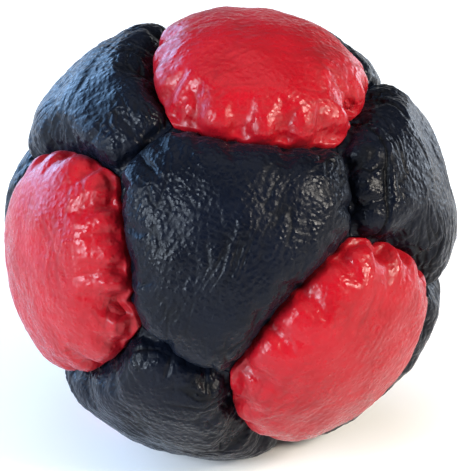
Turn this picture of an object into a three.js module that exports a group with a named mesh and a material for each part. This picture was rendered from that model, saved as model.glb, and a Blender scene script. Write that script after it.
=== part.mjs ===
// A hand-sewn footbag. Six red leather panels of four sides and eight black ones of six sides are
// sewn edge to edge into a ball, each edge turned in to make a rim, and the ball is filled with
// small plastic pellets. It has settled flat on the red panel that it rests on.
// Units are millimetres, +Z is up, and the origin is the centre of the base of the ball's box.
import * as THREE from "three";
import { mergeVertices } from "three/addons/utils/BufferGeometryUtils.js";

// The bag
const bagDiameter = 56.5; // across the crowns of the red panels
const redCrown = 1.5; // how far the middle of a red panel stands above its rolled edge
const blackCrown = 0.6;
const settledDepth = 2.8; // how much the bag has flattened under its own weight

// The leather
const leatherThickness = 1;
const edgeRoll = 1.8; // radius at which the leather rolls over into the seam
const rimBelowHoles = 1.2; // turned-in leather left below the needle holes
const seamGap = 0.4; // between the faces of two rims
const cornerRadius = 0.9; // a panel's corner is rounded, seen from outside
const cornerDip = 0.6; // how far the edge sinks where three panels meet
const puckerDepth = 0.35; // how far each stitch draws the edge down

// The sewing
const threadDiameter = 0.6;
const threadClearance = 0.3; // round the thread in a needle hole, and between it and a rim's back
const knotDiameter = 1;
const longSeam = { stitches: 4 }; // between a red panel and a black one
const shortSeam = { stitches: 2 }; // between two black panels
const threadSides = 6;

// The filling
const fillClearance = 0.45;

// The pattern of the panels. A corner where three panels meet lies in the direction (0, cornerShare, 1)
// or one like it, and a seam between red and black curves away from the red panel by a share of its
// radius, because a red panel is cut with rounded sides.
const cornerShare = 0.66;
const longSeamBulgeShare = 0.094;
const cornerToHoleShare = 0.106; // of the bag's radius, from a corner to a seam's first needle hole
const slopeStepShare = 0.001; // of a seam's length, over which its direction is taken

// How the bag lies: its top panel faces up and a little forward, with a black panel to the front.
const restingTurn = new THREE.Euler(
  THREE.MathUtils.degToRad(88),
  THREE.MathUtils.degToRad(-57),
  THREE.MathUtils.degToRad(-20),
);

// Directions of the six red panels in the bag's own axes.
const redDirections = {
  lower_right: new THREE.Vector3(1, 0, 0),
  upper_back: new THREE.Vector3(-1, 0, 0),
  top: new THREE.Vector3(0, 1, 0),
  bottom: new THREE.Vector3(0, -1, 0),
  left: new THREE.Vector3(0, 0, 1),
  right_back: new THREE.Vector3(0, 0, -1),
};
const restingPanel = "bottom";

// The three red neighbours of each black panel.
const blackNeighbours = {
  front: ["lower_right", "top", "left"],
  upper_left: ["upper_back", "top", "left"],
  right: ["lower_right", "top", "right_back"],
  lower_front: ["lower_right", "bottom", "left"],
  upper_back: ["upper_back", "top", "right_back"],
  left_back: ["upper_back", "bottom", "left"],
  lower_right: ["lower_right", "bottom", "right_back"],
  lower_back: ["upper_back", "bottom", "right_back"],
};

// No two seams of a hand-sewn bag are quite alike. Each corner is named by the red panel that it is on
// and the red panel that it points at, and drifts by these shares of the radius along the bag's axes.
const cornerDriftShares = {
  "top>left": [0.05, 0, -0.02],
  "top>lower_right": [-0.08, 0.05, -0.13],
  "top>right_back": [0.04, 0, -0.01],
  "top>upper_back": [-0.08, -0.06, 0.06],
  "lower_right>top": [-0.04, 0.05, -0.06],
  "lower_right>left": [0.02, -0.04, -0.04],
  "lower_right>right_back": [0, 0.12, 0],
  "lower_right>bottom": [-0.02, -0.04, 0.02],
  "left>top": [0.06, 0.06, -0.04],
  "left>lower_right": [-0.01, 0.08, 0.02],
  "left>bottom": [-0.03, -0.02, -0.02],
  "left>upper_back": [0.02, 0.18, 0],
  "bottom>left": [0.03, 0, 0.03],
  "bottom>lower_right": [0.02, 0, -0.05],
  "bottom>right_back": [-0.04, 0, 0],
  "bottom>upper_back": [0, 0, 0.05],
  "right_back>top": [-0.05, 0.02, 0],
  "right_back>lower_right": [0, 0.06, 0],
  "right_back>bottom": [0.04, 0, 0],
  "right_back>upper_back": [0, -0.05, 0],
  "upper_back>top": [-0.02, -0.11, 0.05],
  "upper_back>left": [0, 0.13, 0],
  "upper_back>right_back": [0, -0.04, 0],
  "upper_back>bottom": [0, 0, -0.05],
};

// The filling has pushed some panels out further than others: shares of the crown of their colour.
const crownShares = {
  red_left: 1.15,
  red_upper_back: 0.9,
  black_lower_front: 1.5,
  black_left_back: 1.2,
  black_right: 1.3,
};

// Rings of a panel's crown, as shares of the way from its rolled edge to its middle.
const crownRingShares = [0.15, 0.4, 0.7];
const restingRingShares = [0.12, 0.25, 0.38, 0.52, 0.68, 0.84];
const innerRingShare = 0.4;
const halfRoll = Math.PI / 4;

// Radii and insets that follow from the sizes above. An inset is measured from the middle of a seam
// into a panel, and a radius from the middle of the bag.
const bagRadius = bagDiameter / 2;
const edgeRadius = bagRadius - redCrown;
const footLevel = bagRadius - settledDepth;
const cornerToHole = bagRadius * cornerToHoleShare;
const outerInset = seamGap / 2;
const rollInset = outerInset + edgeRoll;
const rollRadius = edgeRadius - edgeRoll;
const innerInset = outerInset + leatherThickness;
const innerRoll = edgeRoll - leatherThickness;
const holeWidth = threadDiameter + 2 * threadClearance;
const holeBottomRadius = rollRadius - holeWidth;
const threadRadius = rollRadius - holeWidth / 2;
const rimRadius = holeBottomRadius - rimBelowHoles;
const threadInset = innerInset + threadClearance + threadDiameter / 2;
const knotInset = innerInset + threadClearance + knotDiameter / 2;
const grooveInset = innerInset + 2 * threadClearance + knotDiameter;
const grooveRadius = rimRadius - fillClearance;
const cornerInset = outerInset + cornerRadius;

const redLeather = new THREE.MeshStandardMaterial({ color: 0xc42c38, roughness: 0.42, metalness: 0 });
const blackLeather = new THREE.MeshStandardMaterial({ color: 0x24262c, roughness: 0.45, metalness: 0 });
const blackThread = new THREE.MeshStandardMaterial({ color: 0x141417, roughness: 0.7, metalness: 0 });
const palePlastic = new THREE.MeshStandardMaterial({ color: 0xdcdcd4, roughness: 0.4, metalness: 0 });

// Corners, where a red panel meets two black ones.

function makeCorner(name) {
  const [onPanel, towardsPanel] = name.split(">").map((panel) => redDirections[panel]);
  const direction = onPanel.clone().addScaledVector(towardsPanel, cornerShare).normalize();
  direction.add(new THREE.Vector3(...cornerDriftShares[name]));
  return { direction: direction.normalize() };
}

const corners = {};
for (const name of Object.keys(cornerDriftShares)) corners[name] = makeCorner(name);

// A seam runs from one corner to another on the unit sphere. A short one, between two black panels, is
// straight, and a long one curves away from the red panel on its one side.

function makeSeam(start, end, sewing, bulge) {
  const angle = start.angleTo(end);
  const direction = (share) => {
    const point = start.clone().multiplyScalar(Math.sin((1 - share) * angle));
    point.addScaledVector(end, Math.sin(share * angle)).divideScalar(Math.sin(angle));
    return point.addScaledVector(bulge, 4 * share * (1 - share)).normalize();
  };
  const slope = (share) => {
    const behind = direction(share - slopeStepShare);
    return direction(share + slopeStepShare).sub(behind).divideScalar(2 * slopeStepShare);
  };
  const along = (share) => slope(share).normalize();
  const sideways = (share) => new THREE.Vector3().crossVectors(direction(share), along(share));
  const shareOf = (length, share) => length / (slope(share).length() * threadRadius);
  const firstShare = shareOf(cornerToHole, 0);
  const lastShare = 1 - shareOf(cornerToHole, 1);
  const stitchShares = Array.from(
    { length: sewing.stitches },
    (_, i) => firstShare + ((lastShare - firstShare) * i) / (sewing.stitches - 1),
  );
  return { sewing, direction, along, sideways, shareOf, stitchShares };
}

const seams = {};

function seamBetween(first, second) {
  const name = [first, second].sort().join(" to ");
  if (!seams[name]) {
    const [start, end] = name.split(" to ").map((corner) => corners[corner].direction);
    const red = first.split(">")[0];
    const sewing = red === second.split(">")[0] ? longSeam : shortSeam;
    const bulge = new THREE.Vector3();
    if (sewing === longSeam) {
      bulge.crossVectors(start, end).normalize();
      bulge.multiplyScalar(-Math.sign(bulge.dot(redDirections[red])) * longSeamBulgeShare);
    }
    seams[name] = makeSeam(start, end, sewing, bulge);
  }
  return { seam: seams[name], forward: name.startsWith(first + " to ") };
}

// A panel is a loop of corners, named anticlockwise as seen from outside the bag.

function makePanel(name, cornerNames, crown) {
  const sides = cornerNames.map((corner, i) =>
    seamBetween(corner, cornerNames[(i + 1) % cornerNames.length]),
  );
  const panelCorners = cornerNames.map((corner, i) => {
    const before = sides[(i + sides.length - 1) % sides.length];
    const leaving = sides[i].forward
      ? sides[i].seam.along(0)
      : sides[i].seam.along(1).negate();
    const arriving = before.forward
      ? before.seam.along(1).negate()
      : before.seam.along(0);
    return {
      direction: corners[corner].direction,
      bisector: leaving.clone().add(arriving).normalize(),
      halfAngle: leaving.angleTo(arriving) / 2,
    };
  });
  const middle = new THREE.Vector3();
  for (const corner of panelCorners) middle.add(corner.direction);
  return { name, sides, corners: panelCorners, middle: middle.normalize(), crown };
}

function redPanel(name) {
  const axis = redDirections[name];
  const others = Object.keys(redDirections).filter((other) => redDirections[other].dot(axis) === 0);
  const first = redDirections[others[0]];
  const turnTo = (other) => {
    const across = new THREE.Vector3().crossVectors(first, redDirections[other]).dot(axis);
    return Math.atan2(across, first.dot(redDirections[other]));
  };
  others.sort((a, b) => turnTo(a) - turnTo(b));
  const crown = redCrown * (crownShares["red_" + name] ?? 1);
  return makePanel("red_panel_" + name, others.map((other) => name + ">" + other), crown);
}

function blackPanel(name) {
  const [x, y, z] = blackNeighbours[name];
  const loop = [x + ">" + y, y + ">" + x, y + ">" + z, z + ">" + y, z + ">" + x, x + ">" + z];
  const across = new THREE.Vector3().crossVectors(redDirections[x], redDirections[y]);
  if (across.dot(redDirections[z]) < 0) loop.reverse();
  const crown = blackCrown * (crownShares["black_" + name] ?? 1);
  return makePanel("black_panel_" + name, loop, crown);
}

// Places on a panel. A station is a spot on the panel's edge: a corner, a stitch, the side of a needle
// hole or the middle of the leather between two stitches. Its order runs from 0 to the number of sides.

function stationsOf(panel) {
  const stations = [];
  panel.sides.forEach((side, i) => {
    const { seam, forward } = side;
    const shares = forward ? seam.stitchShares : seam.stitchShares.map((s) => 1 - s).reverse();
    const add = (kind, share) => stations.push({ kind, side, share, order: i + share });
    stations.push({ kind: "corner", corner: panel.corners[i], order: i });
    shares.forEach((share, n) => {
      const halfHole = seam.shareOf(holeWidth / 2, forward ? share : 1 - share);
      add("holeStart", share - halfHole);
      add("stitch", share);
      add("holeEnd", share + halfHole);
      if (n + 1 < shares.length) add("between", (share + shares[n + 1]) / 2);
    });
    stations.push({ kind: "middle", side, share: 0.5, order: i + 0.5 });
  });
  return stations;
}

function placeAt(station, inset, radius) {
  if (station.kind === "corner") {
    const { direction, bisector, halfAngle } = station.corner;
    const sine = Math.sin(halfAngle);
    const sharpReach = Math.max(inset, cornerInset) / sine;
    const reach = sharpReach - Math.max(cornerInset - inset, 0);
    return direction.clone().multiplyScalar(radius).addScaledVector(bisector, reach);
  }
  const { seam, forward } = station.side;
  const share = forward ? station.share : 1 - station.share;
  const inward = seam.sideways(share).multiplyScalar(forward ? inset : -inset);
  return seam.direction(share).multiplyScalar(radius).add(inward);
}

// The floor presses the bag flat. What lies at some depth below the leather's outer face can come no
// nearer to the floor than that depth.

const down = new THREE.Vector3(0, 0, -1);
down.applyQuaternion(new THREE.Quaternion().setFromEuler(restingTurn).invert());

function settled(point, depth) {
  const pressed = Math.max(point.dot(down) - (footLevel - depth), 0);
  return point.addScaledVector(down, -pressed);
}

function rimPlace(inset, radius) {
  return (station) => settled(placeAt(station, inset, radius), edgeRadius - radius);
}

function ringOf(stations, kinds, place) {
  const chosen = stations.filter((station) => kinds.includes(station.kind));
  chosen.sort((a, b) => a.order - b.order);
  return chosen.map((station) => ({ ...station, point: place(station) }));
}

// The crown rises from the rolled edge to the panel's middle. Depth is how far below the leather's
// outer face the point lies.

function crownPlace(panel, share, depth) {
  return (station) => {
    const edge = placeAt(station, rollInset, edgeRadius).normalize();
    const direction = edge.lerp(panel.middle, share).normalize();
    const rise = panel.crown * (1 - (1 - share) ** 2);
    return settled(direction.multiplyScalar(edgeRadius + rise - depth), depth);
  };
}

// The roll is a quarter circle from the panel's outer face, at turn 0, down into the seam. A stitch
// draws it down, and so does a corner.

const drawnDown = { corner: cornerDip, stitch: puckerDepth };

function rollPlace(radius, turn) {
  return (station) => {
    const inset = rollInset - radius * Math.sin(turn);
    const height = radius * Math.cos(turn) - (drawnDown[station.kind] ?? 0);
    return rimPlace(inset, rollRadius + height)(station);
  };
}

// A surface is a list of triangles. The bag's resting turn is put on every point.

class Surface {
  positions = [];

  triangle(...points) {
    for (const point of points) {
      this.positions.push(...point.clone().applyEuler(restingTurn));
    }
  }

  quad(a, b, c, d) {
    this.triangle(a, b, c);
    this.triangle(a, c, d);
  }

  fan(ring, pole, poleFirst) {
    ring.forEach(({ point }, i) => {
      const next = ring[(i + 1) % ring.length].point;
      if (poleFirst) this.triangle(pole, point, next);
      else this.triangle(point, pole, next);
    });
  }

  // Joins two rings with different numbers of points, taking the next point of whichever is behind.
  bridge(ring, below, sideCount) {
    const orderOf = (r, i) => r[i % r.length].order + (i < r.length ? 0 : sideCount);
    let i = 0;
    let j = 0;
    while (i < ring.length || j < below.length) {
      const a = ring[i % ring.length].point;
      const b = below[j % below.length].point;
      const stepBelow =
        i >= ring.length || (j < below.length && orderOf(below, j + 1) <= orderOf(ring, i + 1));
      if (stepBelow) {
        j += 1;
        this.triangle(a, b, below[j % below.length].point);
      } else {
        i += 1;
        this.triangle(a, b, ring[i % ring.length].point);
      }
    }
  }

  mesh(name, material) {
    const soup = new THREE.BufferGeometry();
    soup.setAttribute("position", new THREE.Float32BufferAttribute(this.positions, 3));
    const geometry = mergeVertices(soup);
    geometry.computeVertexNormals();
    const mesh = new THREE.Mesh(geometry, material);
    mesh.name = name;
    return mesh;
  }
}

// A panel is one piece of leather: a crown, a roll, and a rim that turns in towards the bag's middle
// with a needle hole through it at each stitch. The sheet runs from the middle of the outer face over
// the roll, down the rim's face, round its end and back up the inner face.

function leatherPanel(panel, material) {
  const stations = stationsOf(panel);
  const sideCount = panel.sides.length;
  const isResting = panel.name === "red_panel_" + restingPanel;
  const coarse = ["corner", "middle"];
  const plain = ["corner", "between"];
  const fine = ["corner", "stitch", "between"];
  const holes = ["corner", "holeStart", "holeEnd"];
  const rim = (kinds, inset, radius) => ringOf(stations, kinds, rimPlace(inset, radius));

  const outer = [];
  const ringShares = isResting ? restingRingShares : crownRingShares;
  [...ringShares].reverse().forEach((share, i) => {
    const kinds = i === 0 ? coarse : isResting ? fine : plain;
    outer.push(ringOf(stations, kinds, crownPlace(panel, share, 0)));
  });
  outer.push(ringOf(stations, fine, rollPlace(edgeRoll, 0)));
  outer.push(ringOf(stations, fine, rollPlace(edgeRoll, halfRoll)));
  const holeTops = rim(holes, outerInset, rollRadius);
  const holeBottoms = rim(holes, outerInset, holeBottomRadius);
  const rimEnd = rim(plain, outerInset, rimRadius);
  const innerRimEnd = rim(plain, innerInset, rimRadius);
  const innerHoleBottoms = rim(holes, innerInset, holeBottomRadius);
  const innerHoleTops = rim(holes, innerInset, rollRadius);
  const inner = [
    ringOf(stations, plain, rollPlace(innerRoll, 0)),
    ringOf(stations, coarse, crownPlace(panel, innerRingShare, leatherThickness)),
  ];

  const surface = new Surface();
  surface.fan(outer[0], crownPlace(panel, 1, 0)(stations[0]), true);
  const upper = [...outer, holeTops];
  upper.slice(1).forEach((ring, i) => surface.bridge(upper[i], ring, sideCount));
  surface.bridge(holeBottoms, rimEnd, sideCount);
  surface.bridge(rimEnd, innerRimEnd, sideCount);
  surface.bridge(innerRimEnd, innerHoleBottoms, sideCount);
  const lower = [innerHoleTops, ...inner];
  lower.slice(1).forEach((ring, i) => surface.bridge(lower[i], ring, sideCount));
  surface.fan(inner.at(-1), crownPlace(panel, 1, leatherThickness)(stations[0]), false);

  holeTops.forEach((station, i) => {
    const next = (i + 1) % holeTops.length;
    const outerFace = [holeTops[i], holeBottoms[i], holeBottoms[next], holeTops[next]];
    const innerFace = [innerHoleTops[i], innerHoleBottoms[i], innerHoleBottoms[next], innerHoleTops[next]];
    const [a, b, c, d] = outerFace.map((corner) => corner.point);
    const [e, f, g, h] = innerFace.map((corner) => corner.point);
    if (station.kind === "holeStart") {
      surface.quad(a, b, f, e);
      surface.quad(b, c, g, f);
      surface.quad(c, d, h, g);
      surface.quad(d, a, e, h);
    } else {
      surface.quad(a, b, c, d);
      surface.quad(h, g, f, e);
    }
  });
  return surface.mesh(panel.name, material);
}

// A thread is a round tube along a path. Each place on the path has a point and the thread's radius
// there, which swells at a knot. At a bend the section lies across the bend.

function threadTube(name, path, isLoop) {
  const surface = new Surface();
  const sections = path.map(({ point, radius }, i) => {
    const before = path[isLoop ? (i + path.length - 1) % path.length : Math.max(i - 1, 0)].point;
    const after = path[isLoop ? (i + 1) % path.length : Math.min(i + 1, path.length - 1)].point;
    const arriving = point.clone().sub(before).normalize();
    const leaving = after.clone().sub(point).normalize();
    if (arriving.lengthSq() === 0) arriving.copy(leaving);
    if (leaving.lengthSq() === 0) leaving.copy(arriving);
    const ahead = arriving.clone().add(leaving).normalize();
    const outward = point.clone().normalize();
    const across = new THREE.Vector3().crossVectors(outward, ahead).normalize();
    const stretch = 1 / ahead.dot(leaving);
    return Array.from({ length: threadSides }, (_, n) => {
      const turn = (2 * Math.PI * n) / threadSides;
      return point
        .clone()
        .addScaledVector(outward, radius * Math.sin(turn))
        .addScaledVector(across, radius * stretch * Math.cos(turn));
    });
  });
  const joints = isLoop ? sections.length : sections.length - 1;
  for (let i = 0; i < joints; i += 1) {
    const here = sections[i];
    const there = sections[(i + 1) % sections.length];
    here.forEach((point, n) => {
      const next = (n + 1) % threadSides;
      surface.quad(point, here[next], there[next], there[n]);
    });
  }
  if (!isLoop) {
    const asRing = (section) => section.map((point) => ({ point }));
    surface.fan(asRing(sections.at(0)), path.at(0).point, false);
    surface.fan(asRing(sections.at(-1)), path.at(-1).point, true);
  }
  return surface.mesh(name, blackThread);
}

// A knot is a bead on the thread, drawn as four places along it.
const knotShares = [
  { along: -1, thick: 0.5 },
  { along: -0.5, thick: 1 },
  { along: 0.5, thick: 1 },
  { along: 1, thick: 0.5 },
];

function knotOn(middle, heading) {
  return knotShares.map(({ along, thick }) => ({
    point: middle.clone().addScaledVector(heading, (along * knotDiameter) / 2),
    radius: (thick * knotDiameter) / 2,
  }));
}

// Each red panel is sewn in with one thread that goes all the way round it. The thread runs behind the
// red rim, crosses to the black panel through a hole in each rim, runs behind the black rim to the
// next hole and crosses back. Its ends are knotted together at the panel's first corner.

function threadRoundRedPanel(panel) {
  const plainRadius = threadDiameter / 2;
  const path = [];
  stationsOf(panel)
    .filter(({ kind }) => kind === "corner" || kind === "stitch")
    .forEach((station) => {
      if (station.kind === "stitch") {
        const turned = path.at(-1).onBlack;
        for (const onBlack of [turned, !turned]) {
          const inset = onBlack ? -threadInset : threadInset;
          path.push({ point: rimPlace(inset, threadRadius)(station), radius: plainRadius, onBlack });
        }
      } else if (path.length === 0) {
        const { direction, bisector } = station.corner;
        const heading = new THREE.Vector3().crossVectors(bisector, direction).normalize();
        path.push(...knotOn(rimPlace(knotInset, threadRadius)(station), heading));
      } else {
        path.push({ point: rimPlace(threadInset, threadRadius)(station), radius: plainRadius });
      }
    });
  return threadTube(panel.name.replace("panel", "panel_thread"), path, true);
}

// A seam between two black panels has a short thread of its own, knotted behind the first and the last
// hole.

function threadBetweenBlackPanels(name, panel, side) {
  const stitches = stationsOf(panel).filter((s) => s.kind === "stitch" && s.side === side);
  const path = [];
  stitches.forEach((station, i) => {
    const from = i % 2 === 0 ? threadInset : -threadInset;
    const start = rimPlace(from, threadRadius)(station);
    const end = rimPlace(-from, threadRadius)(station);
    const heading = end.clone().sub(start).normalize();
    const knotBack = knotInset - threadInset;
    if (i === 0) path.push(...knotOn(start.clone().addScaledVector(heading, -knotBack), heading));
    else path.push({ point: start, radius: threadDiameter / 2 });
    if (i + 1 < stitches.length) path.push({ point: end, radius: threadDiameter / 2 });
    else path.push(...knotOn(end.clone().addScaledVector(heading, knotBack), heading));
  });
  return threadTube(name, path, false);
}

// The pellets fill the bag up to the leather. Behind each seam the turned-in rims press a groove into
// them, and its bottom follows the seam, so that neighbouring panels share its points.

function pelletFill(panels) {
  const depth = leatherThickness + fillClearance;
  const shoulderInset = grooveInset + fillClearance;
  const surface = new Surface();
  for (const panel of panels) {
    const stations = stationsOf(panel);
    const kinds = ["corner", "between"];
    const atShoulder = (station) => {
      const dip = station.kind === "corner" ? cornerDip : 0;
      return rimPlace(shoulderInset, edgeRadius - depth - dip)(station);
    };
    const atSeam = (station) => {
      if (station.kind !== "corner") return rimPlace(0, grooveRadius)(station);
      const point = station.corner.direction.clone().multiplyScalar(grooveRadius);
      return settled(point, edgeRadius - grooveRadius);
    };
    const rings = [
      ringOf(stations, ["corner", "middle"], crownPlace(panel, innerRingShare, depth)),
      ringOf(stations, kinds, atShoulder),
      ringOf(stations, kinds, rimPlace(grooveInset, grooveRadius)),
      ringOf(stations, kinds, atSeam),
    ];
    surface.fan(rings[0], crownPlace(panel, 1, depth)(stations[0]), true);
    rings.slice(1).forEach((ring, i) => surface.bridge(rings[i], ring, panel.sides.length));
  }
  return surface.mesh("pellet_fill", palePlastic);
}

// The whole bag

const bag = new THREE.Group();
const redPanels = Object.keys(redDirections).map(redPanel);
const blackPanels = Object.keys(blackNeighbours).map(blackPanel);
for (const panel of redPanels) bag.add(leatherPanel(panel, redLeather), threadRoundRedPanel(panel));
for (const panel of blackPanels) bag.add(leatherPanel(panel, blackLeather));

blackPanels.forEach((panel, i) => {
  for (const other of blackPanels.slice(i + 1)) {
    const shared = panel.sides.find(({ seam }) => other.sides.some((side) => side.seam === seam));
    if (shared && shared.seam.sewing === shortSeam) {
      const ends = [panel, other].map(({ name }) => name.replace("black_panel_", ""));
      bag.add(threadBetweenBlackPanels("thread_" + ends.join("_to_"), panel, shared));
    }
  }
});
bag.add(pelletFill([...redPanels, ...blackPanels]));

const box = new THREE.Box3().setFromObject(bag);
bag.position.set(-(box.min.x + box.max.x) / 2, -(box.min.y + box.max.y) / 2, -box.min.z);

export default bag;
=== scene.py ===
# A hand-sewn leather footbag, red and black, on a white table. Lengths are metres unless a name ends
# in _mm. +Z is up, and the bag's resting point is at the origin.
import math
import random

import bmesh
import bpy
import numpy as np
from mathutils import Matrix, Vector, kdtree, noise


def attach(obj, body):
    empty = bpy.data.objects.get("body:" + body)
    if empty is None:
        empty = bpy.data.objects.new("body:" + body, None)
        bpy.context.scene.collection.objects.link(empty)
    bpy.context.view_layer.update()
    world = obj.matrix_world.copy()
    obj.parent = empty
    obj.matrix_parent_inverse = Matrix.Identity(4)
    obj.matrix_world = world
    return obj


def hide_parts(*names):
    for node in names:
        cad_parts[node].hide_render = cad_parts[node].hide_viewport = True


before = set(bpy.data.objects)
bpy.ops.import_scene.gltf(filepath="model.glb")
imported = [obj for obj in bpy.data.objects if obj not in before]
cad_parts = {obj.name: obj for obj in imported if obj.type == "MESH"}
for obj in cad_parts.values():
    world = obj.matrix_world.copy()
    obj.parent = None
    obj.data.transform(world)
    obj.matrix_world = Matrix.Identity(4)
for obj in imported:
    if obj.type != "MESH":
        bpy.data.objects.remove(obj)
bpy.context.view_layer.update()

# The view. The bag is seen from the front and from 25 degrees above, from about ten times its own
# radius away, and fills the picture.
mm = 0.001
bag_middle_mm = Vector((0.085, 0.044, 25.45))
eye_distance_mm = 270
eye_height = math.radians(25)
aim_left_mm = 0.1
aim_below_mm = 0.54
sensor_mm = 36
lens_mm = 173.2

towards_eye = Vector((0, -math.cos(eye_height), math.sin(eye_height)))
eye_up = Vector((0, math.sin(eye_height), math.cos(eye_height)))
aim_mm = bag_middle_mm - Vector((aim_left_mm, 0, 0)) - aim_below_mm * eye_up


def stand(name, data):
    """A new object with this data, in the scene."""
    thing = bpy.data.objects.new(name, data)
    bpy.context.scene.collection.objects.link(thing)
    return thing


camera_data = bpy.data.cameras.new("camera")
camera_data.sensor_fit = "HORIZONTAL"
camera_data.sensor_width = sensor_mm
camera_data.lens = lens_mm
camera_data.clip_start = 10 * mm
camera = stand("camera", camera_data)
camera.matrix_world = (
    Matrix.Translation((aim_mm + towards_eye * eye_distance_mm) * mm)
    @ towards_eye.to_track_quat("Z", "Y").to_matrix().to_4x4()
)
bpy.context.scene.camera = camera

# The light. A cool window stands in front to the left and a warm one in front to the right, with a
# broad blue one and a low pale one farther back and a soft light overhead. The room is white.


def window(name, from_front, height, distance, size, watts, color):
    """A soft square light that faces the bag. Its place is given in degrees, round to the right from
    the front and up from the table."""
    azimuth = math.radians(from_front)
    rise = math.radians(height)
    data = bpy.data.lights.new(name, "AREA")
    data.shape = "RECTANGLE"
    data.size, data.size_y = size
    data.energy = watts
    data.color = color
    light = stand(name, data)
    out = Vector((
        math.sin(azimuth) * math.cos(rise),
        -math.cos(azimuth) * math.cos(rise),
        math.sin(rise),
    ))
    light.matrix_world = (
        Matrix.Translation(bag_middle_mm * mm + out * distance)
        @ out.to_track_quat("Z", "Y").to_matrix().to_4x4()
    )


window("cool_window", -48, 20, 0.5, (0.17, 0.24), 3.8, (0.76, 0.87, 1))
window("warm_window", 62, 32, 0.5, (0.15, 0.15), 3.4, (1, 0.93, 0.83))
window("far_cool_window", -126, 17, 0.6, (0.7, 0.36), 7, (0.3, 0.57, 1))
window("far_window", 130, 5, 0.6, (0.4, 0.16), 1.2, (0.74, 0.85, 1))
window("ceiling", 0, 88, 0.7, (0.6, 0.6), 1.2, (1, 1, 1))


def looked_at(tree):
    """1 where a surface is seen straight, in a gloss or through something clear, and 0 where it only
    lights another."""
    ray = tree.nodes.new("ShaderNodeLightPath")
    seen = ray.outputs["Is Camera Ray"]
    for kind in ("Is Glossy Ray", "Is Transmission Ray"):
        either = tree.nodes.new("ShaderNodeMath")
        either.operation = "MAXIMUM"
        tree.links.new(seen, either.inputs[0])
        tree.links.new(ray.outputs[kind], either.inputs[1])
        seen = either.outputs["Value"]
    return seen


# The room. It is white to the eye all round. In the leather's gloss its walls are white as well, and
# its ceiling is dark. Little of its light falls on the bag.
fill_light = 0.03
dark_ceiling = 0.08
wall_top = 0.05
ceiling_edge = 0.3

world = bpy.data.worlds.new("white_room")
world.use_nodes = True
bpy.context.scene.world = world
room = world.node_tree
room_level = room.nodes.new("ShaderNodeMapRange")
room_level.inputs["To Min"].default_value = fill_light
room_level.inputs["To Max"].default_value = 1
direction = room.nodes.new("ShaderNodeTexCoord")
parts = room.nodes.new("ShaderNodeSeparateXYZ")
wall_to_ceiling = room.nodes.new("ShaderNodeMapRange")
wall_to_ceiling.inputs["From Min"].default_value = wall_top
wall_to_ceiling.inputs["From Max"].default_value = ceiling_edge
wall_to_ceiling.inputs["To Min"].default_value = 1
wall_to_ceiling.inputs["To Max"].default_value = dark_ceiling
straight = room.nodes.new("ShaderNodeLightPath")
white_behind = room.nodes.new("ShaderNodeMath")
white_behind.operation = "MAXIMUM"
room.links.new(direction.outputs["Generated"], parts.inputs["Vector"])
room.links.new(parts.outputs["Z"], wall_to_ceiling.inputs["Value"])
room.links.new(wall_to_ceiling.outputs["Result"], white_behind.inputs[0])
room.links.new(straight.outputs["Is Camera Ray"], white_behind.inputs[1])
room.links.new(white_behind.outputs["Value"], room.nodes["Background"].inputs["Color"])
room.links.new(looked_at(room), room_level.inputs["Value"])
room.links.new(room_level.outputs["Result"], room.nodes["Background"].inputs["Strength"])
bpy.context.scene.view_settings.view_transform = "Standard"

# The table. A wide white sheet, lit up a little for the eye alone and less so under the bag, so that
# it is as white as the photograph's background and still keeps the bag's soft shadow.
table_width = 0.8
table_glow = 0.36
table_tint = (1, 0.96, 0.9, 1)
shade_reach = 0.05

bm = bmesh.new()
bmesh.ops.create_grid(bm, x_segments=1, y_segments=1, size=table_width / 2)
table_mesh = bpy.data.meshes.new("table")
bm.to_mesh(table_mesh)
bm.free()
table = stand("table", table_mesh)


def new_material(name):
    """A new material with its nodes, its links and its main shader."""
    material = bpy.data.materials.new(name)
    material.use_nodes = True
    nodes, links = material.node_tree.nodes, material.node_tree.links
    return material, nodes, links, nodes["Principled BSDF"]


white, nodes, links, paint = new_material("white_table")
paint.inputs["Base Color"].default_value = (0.9, 0.87, 0.83, 1)
paint.inputs["Roughness"].default_value = 0.7
paint.inputs["Specular IOR Level"].default_value = 0.2
glow = nodes.new("ShaderNodeEmission")
under_the_bag = nodes.new("ShaderNodeAmbientOcclusion")
under_the_bag.samples = 8
under_the_bag.inputs["Color"].default_value = table_tint
under_the_bag.inputs["Distance"].default_value = shade_reach
glow_level = nodes.new("ShaderNodeMath")
glow_level.operation = "MULTIPLY"
glow_level.inputs[1].default_value = table_glow
both = nodes.new("ShaderNodeAddShader")
links.new(looked_at(white.node_tree), glow_level.inputs[0])
links.new(glow_level.outputs["Value"], glow.inputs["Strength"])
links.new(under_the_bag.outputs["Color"], glow.inputs["Color"])
links.new(paint.outputs["BSDF"], both.inputs[0])
links.new(glow.outputs["Emission"], both.inputs[1])
links.new(both.outputs["Shader"], nodes["Material Output"].inputs["Surface"])
table_mesh.materials.append(white)

# The red panels. Six pieces of soft split leather, four-sided with rounded sides. Each is gathered
# along its edge as it is sewn in, so that it stands up in a cushion between the stitches.
corner_share = 0.66
long_seam_bulge = 0.094
long_seam_stitches = 4
short_seam_stitches = 2
corner_to_hole_mm = 3
edge_radius_mm = 26.75
thread_radius_mm = 24.35
rim_radius_mm = 22.55
outer_inset_mm = 0.08
leather_mm = 1
red_crown_mm = 0.65
red_roll_mm = 2
red_gather_mm = 0.9
red_wrinkle_mm = 0.09
red_crease_mm = 0.03
grain_mm = 0.03
grid_steps = 24
fine_levels = 2
stitch_draw_mm = 0.3
tight_draw_mm = 0.9
tightest_draw_mm = 1.3
draw_half_width_mm = 0.8
measured_points = 50
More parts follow.
